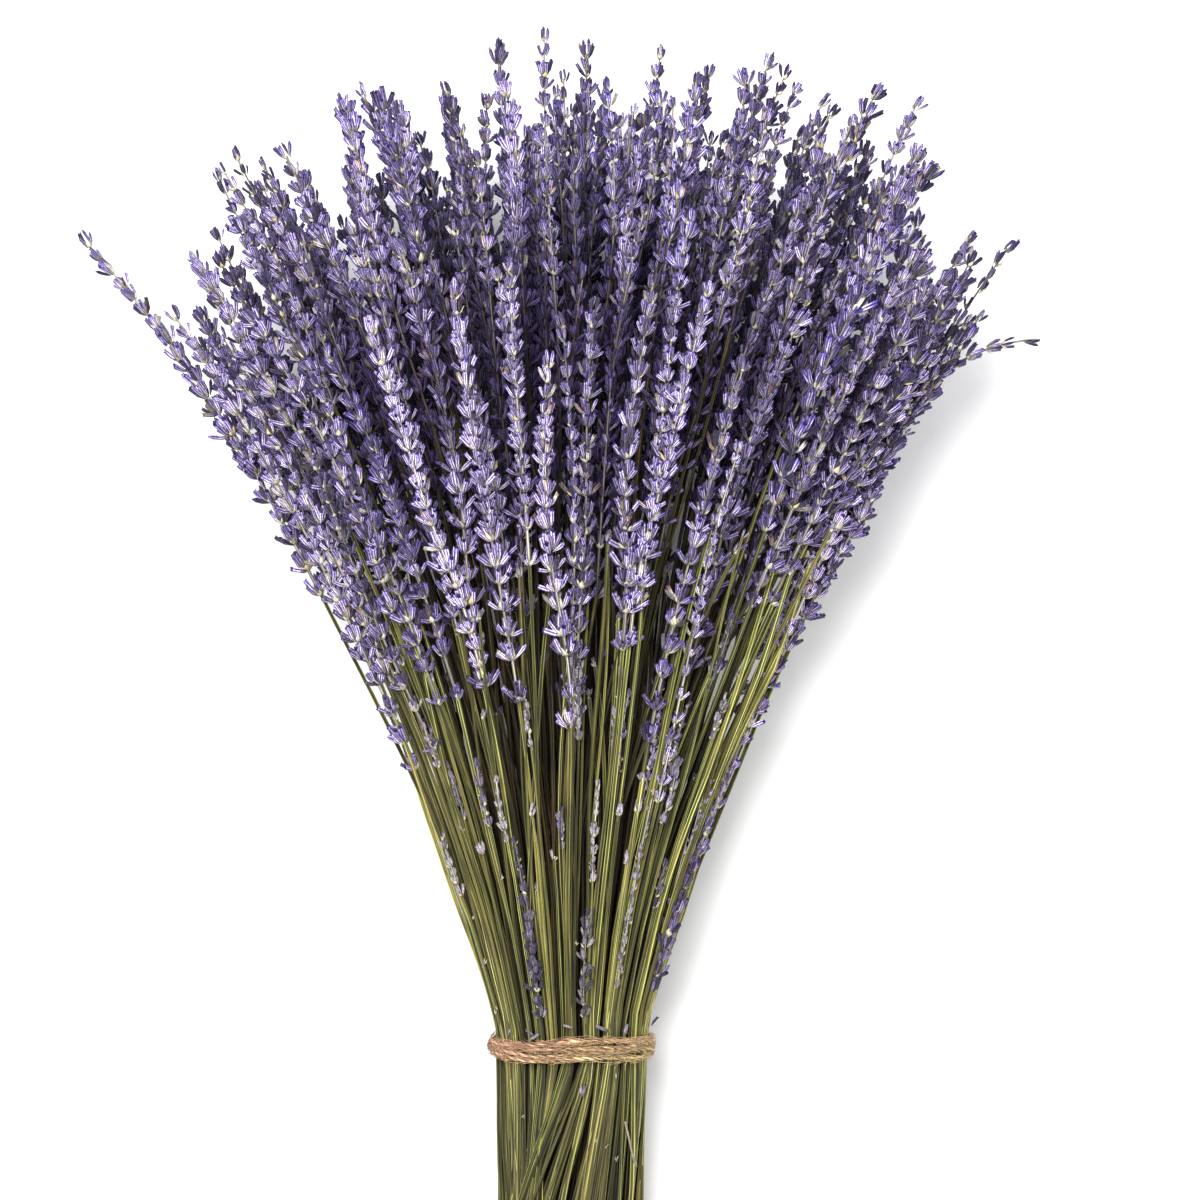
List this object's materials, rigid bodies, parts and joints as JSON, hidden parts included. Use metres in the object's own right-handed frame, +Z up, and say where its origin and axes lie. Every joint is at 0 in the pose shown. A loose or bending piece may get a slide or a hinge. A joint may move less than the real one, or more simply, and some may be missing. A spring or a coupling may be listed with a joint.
{
  "type": "bunch of dried lavender",
  "caption": "Bunch of dried lavender lying on its side, a fan of violet flower spikes on green stems tied with jute twine.",
  "frame": {"origin": "on the table, under the middle of the bunch's box", "axes": "+Y along the bunch from its cut ends to its flower heads, +Z up, +X to the right seen from above with the heads away"},
  "size_m": [0.336, 0.439, 0.1461],
  "materials": {
    "stems": "matt",
    "flower_heads": "matt, papery",
    "twine": "rough jute"
  },
  "bodies": {
    "root": {"stems": "stems", "flower_head_01": "flower_heads", "flower_head_02": "flower_heads", "flower_head_03": "flower_heads", "flower_head_04": "flower_heads", "flower_head_05": "flower_heads", "flower_head_06": "flower_heads", "flower_head_07": "flower_heads", "flower_head_08": "flower_heads", "flower_head_09": "flower_heads", "flower_head_10": "flower_heads", "flower_head_11": "flower_heads", "flower_head_12": "flower_heads", "flower_head_13": "flower_heads", "flower_head_14": "flower_heads", "flower_head_15": "flower_heads", "flower_head_16": "flower_heads", "flower_head_17": "flower_heads", "flower_head_18": "flower_heads", "flower_head_19": "flower_heads", "flower_head_20": "flower_heads", "flower_head_21": "flower_heads", "flower_head_22": "flower_heads", "flower_head_23": "flower_heads", "flower_head_24": "flower_heads", "flower_head_25": "flower_heads", "flower_head_26": "flower_heads", "flower_head_27": "flower_heads", "flower_head_28": "flower_heads", "flower_head_29": "flower_heads", "flower_head_30": "flower_heads", "flower_head_31": "flower_heads", "flower_head_32": "flower_heads", "flower_head_33": "flower_heads", "flower_head_34": "flower_heads", "flower_head_35": "flower_heads", "flower_head_36": "flower_heads", "flower_head_37": "flower_heads", "flower_head_38": "flower_heads", "flower_head_39": "flower_heads", "flower_head_40": "flower_heads", "flower_head_41": "flower_heads", "flower_head_42": "flower_heads", "flower_head_43": "flower_heads", "flower_head_44": "flower_heads", "flower_head_45": "flower_heads", "flower_head_46": "flower_heads", "flower_head_47": "flower_heads", "flower_head_48": "flower_heads", "flower_head_49": "flower_heads", "flower_head_50": "flower_heads", "flower_head_51": "flower_heads", "flower_head_52": "flower_heads", "flower_head_53": "flower_heads", "flower_head_54": "flower_heads", "flower_head_55": "flower_heads", "flower_head_56": "flower_heads", "flower_head_57": "flower_heads", "twine_tie": "twine"}
  },
  "joints": []
}
